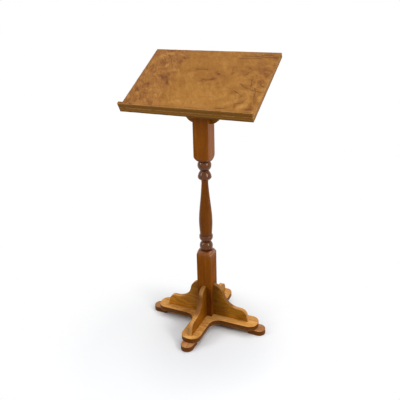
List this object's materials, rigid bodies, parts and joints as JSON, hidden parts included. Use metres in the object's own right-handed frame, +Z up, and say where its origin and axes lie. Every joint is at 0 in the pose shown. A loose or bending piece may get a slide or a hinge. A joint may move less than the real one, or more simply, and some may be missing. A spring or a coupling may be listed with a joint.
{
  "type": "atlas stand",
  "caption": "Free-standing sloped reading board with a book ledge, on a turned square post braced by ogee brackets on a cross-shaped foot.",
  "frame": {"origin": "on the floor, on the axis of the post", "axes": "+Z up, +Y away from the reader, +X to the reader's right"},
  "size_m": [0.549, 0.499, 1.1907],
  "materials": {
    "board_plywood": "golden-brown stained plywood, burl-like face, satin varnish",
    "foot_plywood": "brown stained plywood, cut edges darker, satin varnish",
    "post_wood": "dark brown stained hardwood, satin varnish",
    "dowel_beech": "plain sanded beech",
    "zinc_steel": "bright zinc plate",
    "coach_steel": "dull zinc plate"
  },
  "bodies": {
    "root": {"reading_board": "board_plywood", "book_ledge": "board_plywood", "base_plate": "foot_plywood", "turned_post": "post_wood", "post_coach_screw": "coach_steel", "post_washer": "coach_steel", "pad_screws": "zinc_steel", "bracket_screws": "zinc_steel", "ledge_screws": "zinc_steel", "base_bracket_dowels": "dowel_beech", "top_bracket_dowels": "dowel_beech", "board_bracket_dowels": "dowel_beech", "board_post_dowels": "dowel_beech", "foot_pad_right": "foot_plywood", "base_bracket_right": "foot_plywood", "foot_pad_back": "foot_plywood", "base_bracket_back": "foot_plywood", "foot_pad_left": "foot_plywood", "base_bracket_left": "foot_plywood", "foot_pad_front": "foot_plywood", "base_bracket_front": "foot_plywood", "top_bracket_right": "foot_plywood", "top_bracket_left": "foot_plywood"}
  },
  "joints": []
}
